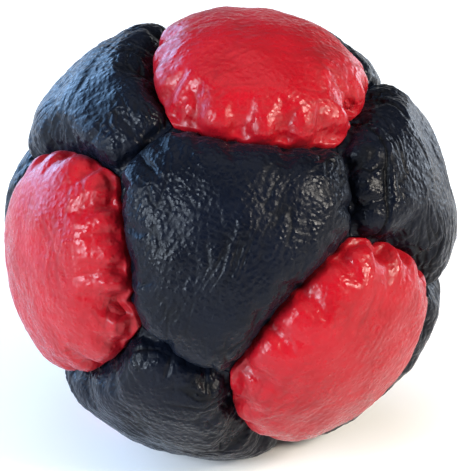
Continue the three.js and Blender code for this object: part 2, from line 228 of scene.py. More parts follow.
# The share of the way from one corner to another at which a stitch is pulled tightest, and how far it
# draws the seam in.
tight_stitches = {
    ("top>lower_right", "top>right_back"): (0.3, tightest_draw_mm),
    ("left>lower_right", "left>top"): (0.2, tight_draw_mm),
    ("lower_right>top", "lower_right>right_back"): (0.2, tight_draw_mm),
    ("bottom>left", "bottom>upper_back"): (0.4, tight_draw_mm),
    ("right_back>top", "right_back>upper_back"): (0.6, tight_draw_mm),
    ("upper_back>left", "upper_back>bottom"): (0.35, tight_draw_mm),
}
# The front ends of two seams were sewn nearer to the red panel, so that they bulge less.
flatter_seams = {
    frozenset(("top>lower_right", "top>right_back")): 0.3,
    frozenset(("left>lower_right", "left>top")): 0.4,
}

resting_turn = (
    Matrix.Rotation(math.radians(88), 3, "X")
    @ Matrix.Rotation(math.radians(-57), 3, "Y")
    @ Matrix.Rotation(math.radians(-20), 3, "Z")
)
red_directions = {
    "lower_right": Vector((1, 0, 0)),
    "upper_back": Vector((-1, 0, 0)),
    "top": Vector((0, 1, 0)),
    "bottom": Vector((0, -1, 0)),
    "left": Vector((0, 0, 1)),
    "right_back": Vector((0, 0, -1)),
}
# How far each corner lies from its place on a perfect ball, in the bag's own axes.
corner_drifts = {
    "top>left": (0.05, 0, -0.02),
    "top>lower_right": (-0.08, 0.05, -0.13),
    "top>right_back": (0.04, 0, -0.01),
    "top>upper_back": (-0.08, -0.06, 0.06),
    "lower_right>top": (-0.04, 0.05, -0.06),
    "lower_right>left": (0.02, -0.04, -0.04),
    "lower_right>right_back": (0, 0.12, 0),
    "lower_right>bottom": (-0.02, -0.04, 0.02),
    "left>top": (0.06, 0.06, -0.04),
    "left>lower_right": (-0.01, 0.08, 0.02),
    "left>bottom": (-0.03, -0.02, -0.02),
    "left>upper_back": (0.02, 0.18, 0),
    "bottom>left": (0.03, 0, 0.03),
    "bottom>lower_right": (0.02, 0, -0.05),
    "bottom>right_back": (-0.04, 0, 0),
    "bottom>upper_back": (0, 0, 0.05),
    "right_back>top": (-0.05, 0.02, 0),
    "right_back>lower_right": (0, 0.06, 0),
    "right_back>bottom": (0.04, 0, 0),
    "right_back>upper_back": (0, -0.05, 0),
    "upper_back>top": (-0.02, -0.11, 0.05),
    "upper_back>left": (0, 0.13, 0),
    "upper_back>right_back": (0, -0.04, 0),
    "upper_back>bottom": (0, 0, -0.05),
}


def corner_direction(name):
    """Where a corner lies, seen from the bag's middle. Its name is the red panel's, then the panel's that
    it points to."""
    on, towards = (red_directions[panel] for panel in name.split(">"))
    direction = (on + towards * corner_share).normalized() + Vector(corner_drifts[name])
    return resting_turn @ direction.normalized()


class Side:
    """One side of a panel, from a corner to the next one anticlockwise. On a side that a red panel
    and a black one share, the seam bulges away from the red panel, and each stitch draws it back a
    little."""

    def __init__(self, first, second):
        self.start = np.array(corner_direction(first))
        self.end = np.array(corner_direction(second))
        red = first.split(">")[0]
        self.is_long = red == second.split(">")[0]
        self.angle = math.acos(self.start @ self.end)
        self.away_from_red = np.zeros(3)
        self.bulge = 0
        self.draws = []
        self.stitches = long_seam_stitches if self.is_long else short_seam_stitches
        if self.is_long:
            across = np.cross(self.start, self.end)
            across /= np.linalg.norm(across)
            facing = across @ np.array(resting_turn @ red_directions[red])
            self.away_from_red = -np.sign(facing) * across
            self.bulge = long_seam_bulge * flatter_seams.get(frozenset((first, second)), 1)
            hole = corner_to_hole_mm / (self.angle * edge_radius_mm)
            shares = np.linspace(hole, 1 - hole, self.stitches)
            self.draws = [(share, stitch_draw_mm) for share in shares]
            for (one, other), (share, draw_mm) in tight_stitches.items():
                if {one, other} == {first, second}:
                    self.draws.append((share if one == first else 1 - share, draw_mm))
        steps = np.diff(self.at(np.linspace(0, 1, measured_points)), axis=0)
        self.length_mm = np.linalg.norm(steps, axis=1).sum() * thread_radius_mm

    def at(self, t):
        """The direction of the seam at these shares of the way."""
        t = np.asarray(t, float)[:, None]
        p = np.sin((1 - t) * self.angle) * self.start + np.sin(t * self.angle) * self.end
        off = 4 * t * (1 - t) * self.bulge
        for share, draw_mm in self.draws:
            from_stitch_mm = (t - share) * self.angle * edge_radius_mm
            off = off - draw_mm / edge_radius_mm * np.exp(-((from_stitch_mm / draw_half_width_mm) ** 2))
        p = p / math.sin(self.angle) + off * self.away_from_red
        return p / np.linalg.norm(p, axis=1, keepdims=True)

    def inward(self, t):
        """The direction into the panel, square to the seam."""
        t = np.asarray(t, float)
        beside = 0.001
        along = self.at(t + beside) - self.at(t - beside)
        sideways = np.cross(self.at(t), along)
        return sideways / np.linalg.norm(sideways, axis=1, keepdims=True)


widest_mitre_share = 0.4


class Outline:
    """A panel's outline: its sides, and the place of any point on it, given as the side's number plus
    the share of the way along it."""

    def __init__(self, corner_names, roll_mm, gather_mm=0):
        self.roll_mm = roll_mm
        self.gather_mm = gather_mm
        self.roll_radius_mm = edge_radius_mm - roll_mm
        self.sides = [
            Side(name, corner_names[(i + 1) % len(corner_names)])
            for i, name in enumerate(corner_names)
        ]
        middle = sum(side.start for side in self.sides)
        self.middle = middle / np.linalg.norm(middle)

    def seam(self, place, inset_mm=0, radius_mm=1):
        """Points at this inset from the seam and this radius, not past the bisector at a corner."""
        number = np.floor(place).astype(int) % len(self.sides)
        t = place - np.floor(place)
        points = np.zeros((len(place), 3))
        for i, side in enumerate(self.sides):
            here = number == i
            short = min(inset_mm / math.sqrt(3) / side.length_mm, widest_mitre_share)
            held = np.clip(t[here], short, 1 - short)
            points[here] = side.at(held) * radius_mm + side.inward(held) * inset_mm
        return points


def flat_grid(sides, steps):
    """A flat polygon of quads, its corners on a circle of radius 1. Returns the mesh and for each
    vertex its share of the way out from the middle and the place on the outline that it faces."""
    bm = bmesh.new()
    bmesh.ops.create_circle(bm, cap_ends=True, segments=2 * sides, radius=1)
    bm.verts.ensure_lookup_table()
    rim = bm.verts[:]
    for v in rim[1::2]:
        v.co *= math.cos(math.pi / sides)
    first = math.atan2(rim[0].co.y, rim[0].co.x)
    if bm.faces[:][0].normal.z < 0:
        bmesh.ops.reverse_faces(bm, faces=bm.faces[:])
    poked = bmesh.ops.poke(bm, faces=bm.faces[:])
    centre = poked["verts"][0]
    spokes = [e for v in rim[0::2] for e in v.link_edges if centre in e.verts]
    bmesh.ops.dissolve_edges(bm, edges=spokes, use_verts=False)
    bmesh.ops.subdivide_edges(bm, edges=bm.edges[:], cuts=steps - 1, use_grid_fill=True)
    flat = np.array([v.co for v in bm.verts])
    tiny = 1e-6
    half = math.pi / sides
    turn = ((np.arctan2(flat[:, 1], flat[:, 0]) - first) / (2 * half)) % sides
    turn = np.where(turn > sides - tiny, 0, turn)
    turn = np.where(np.abs(turn - np.round(turn)) < tiny, np.round(turn), turn)
    lean = (turn - np.floor(turn) - 0.5) * 2 * half
    place = np.floor(turn) + 0.5 + np.tan(lean) / (2 * math.tan(half))
    out = np.hypot(flat[:, 0], flat[:, 1]) * np.cos(lean) / math.cos(half)
    return bm, np.clip(out, 0, 1), place


held_from = 0.999
easing_rounds = 400


def smooth_rise(bm, out):
    """How a sheet held at its edge bulges under an even push, from 0 at the edge to 1."""
    ends = np.array([[v.index for v in e.verts] for e in bm.edges])
    links_at = np.bincount(ends.ravel(), minlength=len(out))
    rise = 1 - out ** 2
    held = out > held_from
    push = 1 / grid_steps ** 2
    for _ in range(easing_rounds):
        total = np.bincount(ends[:, 0], rise[ends[:, 1]], len(out))
        total += np.bincount(ends[:, 1], rise[ends[:, 0]], len(out))
        rise = total / links_at + push
        rise[held] = 0
    return rise / rise.max()


# No two stitches gather the leather alike: how far one strays from its place, how far its pucker
# reaches to each side, and how deep it is, as a share.
stitch_stray_mm = 0.7
pucker_reach_mm = (0.6, 1.3)
pucker_depth_share = (0.25, 1.1)
tight_pucker_reach_mm = 1.1
tight_pucker_share = 1.2
corner_reach_mm = 2
points_to_a_side = 160


def seam_samples(outline):
    """Points along a panel's seams with what is needed near them: the inward direction, how much the
    nearest stitch gathers the leather there, and how near a corner is."""
    # Each panel has draws of its own, and the same ones in every run.
    dice = random.Random(round(1000 * abs(outline.middle[0] + 2 * outline.middle[1])))
    rows = []
    for i, side in enumerate(outline.sides):
        t = np.linspace(0, 1, points_to_a_side, endpoint=False)
        s = t * side.length_mm
        last = side.length_mm - corner_to_hole_mm
        stitches = np.linspace(corner_to_hole_mm, last, side.stitches)
        gather = np.zeros(len(t))
        for at in stitches:
            at += dice.uniform(-stitch_stray_mm, stitch_stray_mm)
            reach_mm = dice.uniform(*pucker_reach_mm)
            gather += dice.uniform(*pucker_depth_share) * np.exp(-(((s - at) / reach_mm) ** 2))
        for share, draw_mm in side.draws:
            if draw_mm > stitch_draw_mm:
                near = (t - share) * side.length_mm / tight_pucker_reach_mm
                gather += tight_pucker_share * draw_mm * np.exp(-(near ** 2))
        corner = np.exp(-((np.minimum(s, side.length_mm - s) / corner_reach_mm) ** 2))
        rows.append(np.column_stack([side.at(t), side.inward(t), gather, corner, i + t]))
    return np.concatenate(rows)


def nearest_seam(directions, samples):
    """For each direction the number of the seam sample that lies nearest."""
    tree = kdtree.KDTree(len(samples))
    for i, sample in enumerate(samples):
        tree.insert(sample[:3], i)
    tree.balance()
    return np.array([tree.find(d)[1] for d in directions])


on_seam_mm = 0.05
corner_draw_mm = 1
overhang_reach_mm = 6
gather_reach_mm = 2.6
gather_start_mm = 0.8
gather_drop_share = 0.8


def cushion(outline, bm, out, place, crown_mm):
    """Lays the flat grid over the bag as a cushion: up out of the seam, over the rolled edge and on to
    the crown. Each stitch draws the edge in and down, and so does a corner."""
    seam = outline.seam(place)
    directions = (1 - out)[:, None] * outline.middle + out[:, None] * seam
    directions /= np.linalg.norm(directions, axis=1, keepdims=True)
    samples = seam_samples(outline)
    near = samples[nearest_seam(directions, samples)]
    from_seam = directions - near[:, :3]
    depth_mm = np.linalg.norm(from_seam, axis=1) * edge_radius_mm
    edge = out > held_from
    depth_mm[edge] = 0
    inward = from_seam / np.maximum(np.linalg.norm(from_seam, axis=1, keepdims=True), 1e-6)
    on_seam = depth_mm < on_seam_mm
    inward[on_seam] = near[on_seam, 3:6]
    roll_mm = outline.roll_mm
    roll_arc_mm = roll_mm * math.pi / 2
    roll_inset_mm = outer_inset_mm + roll_mm
    spare = np.clip(1 - depth_mm / overhang_reach_mm, 0, 1)
    along_mm = depth_mm + (roll_arc_mm - roll_inset_mm) * (1 - spare ** 2)
    turn = np.clip(along_mm / roll_mm, 0, math.pi / 2)
    inset_mm = np.where(
        along_mm < roll_arc_mm,
        outer_inset_mm + roll_mm * (1 - np.cos(turn)),
        roll_inset_mm + along_mm - roll_arc_mm,
    )
    height_mm = roll_mm * np.sin(turn) + crown_mm * smooth_rise(bm, out)
    fade = np.exp(-((along_mm / gather_reach_mm) ** 2)) * np.minimum(along_mm / gather_start_mm, 1)
    gather_mm, corner_mm = outline.gather_mm * near[:, 6], corner_draw_mm * near[:, 7]
    inset_mm += (gather_mm + corner_mm) * fade
    height_mm -= (gather_drop_share * gather_mm + corner_mm) * fade
    points = near[:, :3] * edge_radius_mm + inward * inset_mm[:, None]
    points /= np.linalg.norm(points, axis=1, keepdims=True)
    points *= (outline.roll_radius_mm + height_mm)[:, None]
    return points, along_mm


def pressed_flat(points, depth_mm=0):
    """The same points, none of them lower than this depth of leather above the table."""
    floor = -bag_middle_mm.z + depth_mm
    points[:, 2] = np.maximum(points[:, 2], floor)
    return points


cloth_times_larger = 20
cloth_frames = 20
swell_cap_mm = 0.9
full_reach_mm = 5
full_share = 0.19
spare_share = 0.04


def filled_out(rough, out, along_mm):
    """Lets the leather swell under the filling's push. It is cut larger than the space it has, mostly
    along its edge, so that it puckers between its stitches. It is simulated many times larger, where
    cloth settles well."""
    times = cloth_times_larger * mm
    base = np.array([v.co for v in rough.data.vertices])
    rough.data.transform(Matrix.Scale(times, 4))
    held = rough.vertex_groups.new(name="held")
    held.add([int(i) for i in np.flatnonzero(out > held_from)], 1, "REPLACE")
    full = rough.vertex_groups.new(name="full")
    for i, at in enumerate(along_mm):
        full.add([i], float(np.clip(1 - at / full_reach_mm, 0, 1)), "REPLACE")
    cloth = rough.modifiers.new("cloth", "CLOTH")
    cloth.settings.quality = 6
    cloth.settings.mass = 0.3
    cloth.settings.tension_stiffness = cloth.settings.compression_stiffness = 12
    cloth.settings.shear_stiffness = 4
    cloth.settings.bending_stiffness = 0.08
    cloth.settings.vertex_group_mass = "held"
    cloth.settings.vertex_group_shrink = "full"
    cloth.settings.shrink_min = -spare_share
    cloth.settings.shrink_max = -full_share
    cloth.settings.use_pressure = True
    cloth.settings.uniform_pressure_force = 3
    cloth.settings.effector_weights.gravity = 0
    cloth.collision_settings.use_collision = False
    cloth.point_cache.frame_start = 1
    cloth.point_cache.frame_end = cloth_frames
    scene = bpy.context.scene
    for number in range(1, cloth_frames + 1):
        scene.frame_set(number)
    graph = bpy.context.evaluated_depsgraph_get()
    swollen = rough.evaluated_get(graph).to_mesh()
    moved = np.array([v.co for v in swollen.vertices]) / times - base
    rough.evaluated_get(graph).to_mesh_clear()
    rough.modifiers.remove(cloth)
    scene.frame_set(1)
    far = np.linalg.norm(moved, axis=1, keepdims=True)
    moved *= np.minimum(1, swell_cap_mm / np.maximum(far, 1e-9))
    points = base + moved
    rough.data.vertices.foreach_set("co", points.ravel())
    rough.data.update()


# A fold's own shape. The first two are shares of its way, the next is a share of its width, and the
# ridge's offset and width are in half widths of the fold.
fold_starts_within = 0.05
fold_fades_over = 0.3
fold_end_width_share = 0.35
ridge_offset = 2.2
ridge_width = 1.3
ridge_share = 0.3
fold_unevenness = 0.35
fold_waves = (9, 4)
fold_phases = (7, 3)


def folds_mm(directions, outline, folds):
    """How deep the folds go. Each runs between two places on the outline, (from, to, depth, half
    width, share of the way at which it ends), with a low ridge on one side."""
    depth_mm = np.zeros(len(directions))
    for first, last, deep_mm, half_width_mm, reach in folds:
        start, end = outline.seam(np.array([first, last]))
        across = np.cross(start, end)
        across /= np.linalg.norm(across)
        ahead = np.cross(across, start)
        off = directions @ across * edge_radius_mm / half_width_mm
        way = np.arctan2(directions @ ahead, directions @ start) / math.acos(start @ end)
        held = np.clip(way / fold_starts_within + 0.5, 0, 1)
        held *= np.clip((reach - way) / fold_fades_over, 0, 1)
        off = off / (fold_end_width_share + (1 - fold_end_width_share) * held)
        hollow = np.exp(-(off ** 2))
        ridge = np.exp(-(((off - ridge_offset) / ridge_width) ** 2))
        sway = np.sin(fold_waves[0] * way + fold_phases[0] * first)
        sway *= np.sin(fold_waves[1] * way + fold_phases[1] * last)
        uneven = 1 + fold_unevenness * (sway - 1)
        depth_mm += deep_mm * held * uneven * (hollow - ridge_share * ridge)
    return depth_mm


# The sizes of the leather's own surface, as how many to a millimetre.
broad_wrinkles = 0.7
close_wrinkles = 1.9
grain_cells = 1.5
rough_patches = 0.17
slow_bends = 0.2
slow_swells = 0.24
swell_mm = 0.3
bend_mm = 1.5
# Without a seed the noise that bends the wrinkles would start from the clock, in each run another way.
bend_seed = 3
noise.seed_set(bend_seed)
# How rough the leather is on the whole, how much that changes from patch to patch, and what the two
# kinds of wrinkle and the edges of the grain's cells put into it.
rough_share = 0.45
rough_contrast = 1.1
broad_share = 0.5
close_share = 0.35
close_everywhere = 0.4
grain_steepness = 1.5
# How much longer than wide the wrinkles and the grain are drawn, as the share of their length that is
# taken out before the noise is read.
wrinkle_drawn_share = 0.9
grain_drawn_share = 0.3
# How far along the flow two of the noises are read, so that they differ from the others.
close_offset = 7
patch_offset = 3
crease_width = 0.15
fold_sway = 0.035
wrinkle_start_mm = 1.4
rim_wrinkle_share = 0.1
fold_start_mm = 2.5
deepest_fold_mm = 0.35
crease_hollow = 0.7


def relief_mm(points, along_mm, outline, skin):
    """The leather's own surface: fine cells of grain, wrinkles that run with the skin's flow, crisp
    creases among them, and folds. Returns the heights and how hollow each point is, from 0 to 1."""
    flow = Vector(skin["flow"]).normalized()
    rise = np.zeros(len(points))
    crease = np.zeros(len(points))
    bends = np.zeros((len(points), 3))
    for i, p in enumerate(points):
        p = Vector(p)
        with_flow = flow * p.dot(flow)
        bend = noise.noise_vector(p * slow_bends)
        bends[i] = bend
        drawn = p - with_flow * wrinkle_drawn_share + bend_mm * bend
        broad = noise.noise(drawn * broad_wrinkles)
        close = noise.noise(drawn * close_wrinkles + flow * close_offset)
        patch = noise.noise(p * rough_patches + flow * patch_offset)
        patch = min(max(rough_share + rough_contrast * patch, 0), 1)
        cells = noise.voronoi((p - with_flow * grain_drawn_share) * grain_cells)[0]
        crease[i] = patch * math.exp(-((broad / crease_width) ** 2))
        rise[i] = (
            skin["wrinkle_mm"] * (broad_share * broad + close_share * close * (close_everywhere + patch))
            + grain_mm * min((cells[1] - cells[0]) * grain_steepness, 1)
            + swell_mm * noise.noise(p * slow_swells)
        )
    directions = points / np.linalg.norm(points, axis=1, keepdims=True)
    swayed = directions + fold_sway * bends
    swayed /= np.linalg.norm(swayed, axis=1, keepdims=True)
    fold_mm = folds_mm(swayed, outline, skin["folds"])
    clear_of_seam = np.clip(along_mm / wrinkle_start_mm, rim_wrinkle_share, 1)
    heights = (rise - skin["crease_mm"] * crease) * clear_of_seam
    heights -= fold_mm * np.clip(along_mm / fold_start_mm, 0, 1)
    hollow = np.clip(crease_hollow * crease + np.maximum(fold_mm, 0) / deepest_fold_mm, 0, 1)
    return heights, hollow


lining_shares = (0.8, 0.45)


def close_sheet(bm, outline, places, crown_mm):
    """Turns the panel's edge in to the rim behind the seam, and lines it a leather's thickness below,
    so that it is one closed piece. The rim's stages are (inset, radius), and the lining's are shares of
    the way out from the middle."""
    place_of = bm.verts.layers.float.new("place")
    for v, place in zip(bm.verts, places):
        v[place_of] = place
    ring = [e for e in bm.edges if e.is_boundary]
    inner_inset_mm = outer_inset_mm + leather_mm
    top_mm = outline.roll_radius_mm
    stages = [("rim", outer_inset_mm, (top_mm + rim_radius_mm) / 2)]
    stages += [("rim", outer_inset_mm, rim_radius_mm)]
    stages += [("rim", inner_inset_mm, rim_radius_mm)]
    stages += [("rim", inner_inset_mm, top_mm)]
    stages += [("lining", share, 0) for share in lining_shares]
    for kind, first, radius_mm in stages:
        made = bmesh.ops.extrude_edge_only(bm, edges=ring)["geom"]
        verts = [g for g in made if isinstance(g, bmesh.types.BMVert)]
        ring = [g for g in made if isinstance(g, bmesh.types.BMEdge) and g.is_boundary]
        at = np.array([v[place_of] for v in verts])
        if kind == "rim":
            points = outline.seam(at, first, radius_mm)
        else:
            points = first * outline.seam(at) + (1 - first) * outline.middle
            points /= np.linalg.norm(points, axis=1, keepdims=True)
            points *= edge_radius_mm + crown_mm * (1 - first ** 2) - leather_mm
        points = pressed_flat(points, leather_mm)
        for v, p in zip(verts, points):
            v.co = p
    cap = bmesh.ops.contextual_create(bm, geom=ring)["faces"]
    poked = bmesh.ops.poke(bm, faces=cap)
    centre = outline.middle * (edge_radius_mm + crown_mm - leather_mm)
    poked["verts"][0].co = pressed_flat(centre[None, :], leather_mm)[0]
    bmesh.ops.recalc_face_normals(bm, faces=bm.faces[:])


def leather_panel(node, corner_names, crown_mm, skin, material):
    """One finished panel: laid over the bag, filled out, given its own surface and closed."""
    outline = Outline(corner_names, skin["roll_mm"], skin["gather_mm"])
    bm, out, place = flat_grid(len(corner_names), grid_steps)
    points, along_mm = cushion(outline, bm, out, place, crown_mm)
    for v, p in zip(bm.verts, pressed_flat(points)):
        v.co = p
    mesh = bpy.data.meshes.new(node)
    bm.to_mesh(mesh)
    bm.free()
    for name, values in (("along", along_mm), ("place", place), ("out", out)):
        layer = mesh.attributes.new(name, "FLOAT", "POINT")
        layer.data.foreach_set("value", values.astype(np.float32))
    rough = stand(node + "_rough", mesh)
    filled_out(rough, out, along_mm)
    fine = rough.modifiers.new("fine", "SUBSURF")
    fine.levels = fine.render_levels = fine_levels
    fine.boundary_smooth = "ALL"
    graph = bpy.context.evaluated_depsgraph_get()
    finished = bpy.data.meshes.new_from_object(rough.evaluated_get(graph))
    bpy.data.objects.remove(rough)

    count = len(finished.vertices)
    points = np.zeros(count * 3)
    normals = np.zeros(count * 3)
    finished.vertices.foreach_get("co", points)
    finished.vertices.foreach_get("normal", normals)
    points, normals = points.reshape(-1, 3), normals.reshape(-1, 3)
    along_mm = np.zeros(count)
    finished.attributes["along"].data.foreach_get("value", along_mm)
    heights, hollow = relief_mm(points, along_mm, outline, skin)
    points = pressed_flat(points + normals * heights[:, None])
    finished.vertices.foreach_set("co", points.ravel())
    finished.attributes.new("hollow", "FLOAT", "POINT").data.foreach_set("value", hollow)

    bm = bmesh.new()
    bm.from_mesh(finished)
    # On the edge the place is worked out again, because it jumps from the last side to the first.
    rim = [v for v in bm.verts if v.is_boundary]
    samples = seam_samples(outline)
    near = nearest_seam([v.co.normalized() for v in rim], samples)
    places = np.zeros(len(bm.verts))
    for v, i in zip(rim, near):
        places[v.index] = samples[i, 8]
    for layer in ("place", "along", "out"):
        bm.verts.layers.float.remove(bm.verts.layers.float[layer])
    close_sheet(bm, outline, places, crown_mm)
    bmesh.ops.scale(bm, vec=(mm, mm, mm), verts=bm.verts)
    bmesh.ops.translate(bm, vec=bag_middle_mm * mm, verts=bm.verts)
    for face in bm.faces:
        face.smooth = True
    bm.to_mesh(finished)
    bm.free()
    finished.name = node + "_leather"
    finished.materials.clear()
    finished.materials.append(material)
    panel = stand(node + "_leather", finished)
    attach(panel, "root")
    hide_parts(node)


# Split leather has a fine grain of low shiny domes, about half a millimetre across, with smaller
# ones between. The dye is thin on the domes and in worn patches. Down in the creases and folds the
# colour is darkened toward the deep dye as painted shade, and the leather is duller there. Scales
# are how many to a metre.
warp_scale = 1100
warp_reach = 0.5 * mm
small_dome_share = 2.3
small_dome_height_share = 0.12
fine_scale = 900
fine_height_share = 0.6
patch_scale = 170
patch_wear = 1.3
dome_wear = 0.25
dullest_dome = 0.9
even_patch = 0.5

leather_grain = bpy.data.node_groups.new("leather_grain", "ShaderNodeTree")
for name, kind, where in (
    ("Position", "NodeSocketVector", "INPUT"),
    ("Cells per Metre", "NodeSocketFloat", "INPUT"),
    ("Hollow", "NodeSocketFloat", "INPUT"),
    ("Height", "NodeSocketFloat", "OUTPUT"),
    ("Wear and Painted Shade", "NodeSocketFloat", "OUTPUT"),
    ("Dullness", "NodeSocketFloat", "OUTPUT"),
):
    leather_grain.interface.new_socket(name=name, in_out=where, socket_type=kind)
nodes = leather_grain.nodes
links = leather_grain.links
given = nodes.new("NodeGroupInput")
result = nodes.new("NodeGroupOutput")


def reckon(operation, first, second):
    """A Math node of these two, each a socket or a number."""
    node = nodes.new("ShaderNodeMath")
    node.operation = operation
    for socket, value in zip(node.inputs, (first, second)):
        if isinstance(value, bpy.types.NodeSocket):
            links.new(value, socket)
        else:
            socket.default_value = value
    return node.outputs["Value"]


def mottle(scale, detail):
    """An even blotchy noise over the leather."""
    node = nodes.new("ShaderNodeTexNoise")
    node.inputs["Scale"].default_value = scale
    node.inputs["Detail"].default_value = detail
    links.new(given.outputs["Position"], node.inputs["Vector"])
    return node


warp = nodes.new("ShaderNodeVectorMath")
warp.operation = "MULTIPLY_ADD"
warp.inputs[1].default_value = (warp_reach, warp_reach, warp_reach)
links.new(mottle(warp_scale, 2).outputs["Color"], warp.inputs[0])
links.new(given.outputs["Position"], warp.inputs[2])
domes = []
for share in (1, small_dome_share):
    cells = nodes.new("ShaderNodeTexVoronoi")
    cells.feature = "SMOOTH_F1"
    cells.inputs["Smoothness"].default_value = 0.3
    links.new(warp.outputs["Vector"], cells.inputs["Vector"])
    links.new(reckon("MULTIPLY", given.outputs["Cells per Metre"], share), cells.inputs["Scale"])
    domes.append(reckon("SUBTRACT", 1, cells.outputs["Distance"]))
patchy = mottle(patch_scale, 3).outputs["Fac"]
small_domes = reckon("MULTIPLY", domes[1], small_dome_height_share)
fine = reckon("MULTIPLY", mottle(fine_scale, 2).outputs["Fac"], fine_height_share)
links.new(reckon("ADD", reckon("ADD", domes[0], small_domes), fine), result.inputs["Height"])
# The hollow of the creases and folds darkens the colour toward the deep dye as painted shade. Worn
# patches and the domes lighten it toward the thin dye.
wear_less_painted_shade = reckon("SUBTRACT", reckon("MULTIPLY", patchy, patch_wear), given.outputs["Hollow"])
links.new(reckon("ADD", wear_less_painted_shade, reckon("MULTIPLY", domes[0], dome_wear)), result.inputs["Wear and Painted Shade"])
dull = reckon("ADD", given.outputs["Hollow"], reckon("SUBTRACT", dullest_dome, domes[0]))
links.new(reckon("ADD", dull, reckon("SUBTRACT", patchy, even_patch)), result.inputs["Dullness"])


dome_roughness = 0.2
crease_roughness = 0.48
sheen_roughness = 0.45


def two_tones(nodes, links, share, first, second, shader):
    """Colours a shader from the first tone to the second, by the share that a socket gives."""
    tone = nodes.new("ShaderNodeMix")
    tone.data_type = "RGBA"
    tone.inputs["A"].default_value = (*first, 1)
    tone.inputs["B"].default_value = (*second, 1)
    links.new(share, tone.inputs["Factor"])
    links.new(tone.outputs["Result"], shader.inputs["Base Color"])


def leather(name, look):
    """Dyed leather. Its colours are where the dye is deep and where it is thin, and the deep colour is
    also painted shade in the creases and folds. Its roughness is on the domes and in the creases."""
    material, nodes, links, hide = new_material(name)
    where = nodes.new("ShaderNodeTexCoord")
    hollow = nodes.new("ShaderNodeAttribute")
    hollow.attribute_name = "hollow"
    grain = nodes.new("ShaderNodeGroup")
    grain.node_tree = leather_grain
    grain.inputs["Cells per Metre"].default_value = look["domes_per_metre"]
    links.new(where.outputs["Object"], grain.inputs["Position"])
    links.new(hollow.outputs["Fac"], grain.inputs["Hollow"])
    two_tones(nodes, links, grain.outputs["Wear and Painted Shade"], look["deep_dye_and_crease_shade"], look["thin_dye"], hide)
    finish = nodes.new("ShaderNodeMapRange")
    finish.inputs["To Min"].default_value = dome_roughness
    finish.inputs["To Max"].default_value = crease_roughness
    links.new(grain.outputs["Dullness"], finish.inputs["Value"])
    links.new(finish.outputs["Result"], hide.inputs["Roughness"])
    bump = nodes.new("ShaderNodeBump")
    bump.inputs["Distance"].default_value = look["dome_height_mm"] * mm
    links.new(grain.outputs["Height"], bump.inputs["Height"])
    links.new(bump.outputs["Normal"], hide.inputs["Normal"])
    hide.inputs["Specular IOR Level"].default_value = look["gloss"]
    hide.inputs["Sheen Weight"].default_value = look["sheen"]
    hide.inputs["Sheen Roughness"].default_value = sheen_roughness
    hide.inputs["Sheen Tint"].default_value = (*look["sheen_tint"], 1)
    return material


red_leather = leather("red_leather", {
    "deep_dye_and_crease_shade": (0.24, 0.0015, 0.005),
    "thin_dye": (0.36, 0.004, 0.011),
    "gloss": 0.26,
    "sheen": 0.035,
    "sheen_tint": (1, 0.7, 0.88),
    "domes_per_metre": 1450,
    "dome_height_mm": 0.075,
})

red_crown_shares = {"left": 0.7, "top": 1.2}
red_flows = {
    "lower_right": (0.5, 0.3, 0.8),
    "upper_back": (0.2, 0.9, 0.4),
    "top": (0.9, 0.4, 0.1),
    "bottom": (1, 0.2, 0),
    "left": (0.1, 0.5, 1),
    "right_back": (0.3, 0.2, 1),
}
# Each fold is (from, to, depth in mm, half width in mm, share of the way at which it ends). Its ends are
# places on the panel's outline.
red_folds = {
    "left": [
        (1.08, 2.2, 0.06, 0.4, 0.5),
        (1.08, 2.5, 0.06, 0.4, 0.8),
        (1.08, 2.8, 0.06, 0.4, 0.9),
        (1.08, 3.2, 0.06, 0.4, 1),
        (1.08, 3.5, 0.06, 0.4, 0.7),
        (1.08, 3.8, 0.06, 0.4, 0.9),
        (2.1, 0.6, 0.28, 0.25, 0.14),
        (1.35, 3.2, 0.22, 0.3, 0.2),
        (1.62, 3.4, 0.16, 0.3, 0.3),
    ],
    "lower_right": [
        (0.04, 1.5, 0.05, 0.3, 0.4),
        (0.04, 1.75, 0.05, 0.3, 0.55),
        (0.04, 2, 0.05, 0.3, 0.5),
        (0.04, 2.3, 0.05, 0.3, 0.45),
        (0.5, 2.4, 0.2, 0.3, 0.2),
        (0.25, 2.2, 0.16, 0.3, 0.25),
        (3.4, 1.3, 0.16, 0.35, 0.3),
    ],
    "top": [
        (1.9, 0.1, 0.07, 0.22, 0.6),
        (2.02, 3.9, 0.07, 0.22, 0.5),
        (1.35, 3.6, 0.2, 0.3, 0.25),
        (1.68, 3.3, 0.12, 0.35, 0.22),
    ],
    "upper_back": [(0.5, 2.4, 0.2, 0.35, 0.4), (1.6, 3.7, 0.15, 0.3, 0.6), (3.02, 1.3, 0.12, 0.3, 0.7)],
    "bottom": [(0.4, 2.5, 0.16, 0.35, 0.3), (2.3, 0.8, 0.16, 0.3, 0.3)],
    "right_back": [(0.6, 2.6, 0.2, 0.3, 0.35), (1.05, 3.4, 0.12, 0.3, 0.8), (2.4, 0.2, 0.16, 0.3, 0.5)],
}


def red_corners(name):
    """The four corners of a red panel, anticlockwise as seen from outside."""
    axis = red_directions[name]
    others = [other for other in red_directions if red_directions[other].dot(axis) == 0]
    first = red_directions[others[0]]

    def turn_to(other):
        across = first.cross(red_directions[other]).dot(axis)
        return math.atan2(across, first.dot(red_directions[other]))

    others.sort(key=turn_to)
    return [name + ">" + other for other in others]


for name in red_directions:
    leather_panel(
        "red_panel_" + name,
        red_corners(name),
        red_crown_mm * red_crown_shares.get(name, 1),
        {
            "roll_mm": red_roll_mm,
            "gather_mm": red_gather_mm,
            "flow": red_flows[name],
            "wrinkle_mm": red_wrinkle_mm,
            "crease_mm": red_crease_mm,
            "folds": red_folds[name],
        },
        red_leather,
    )

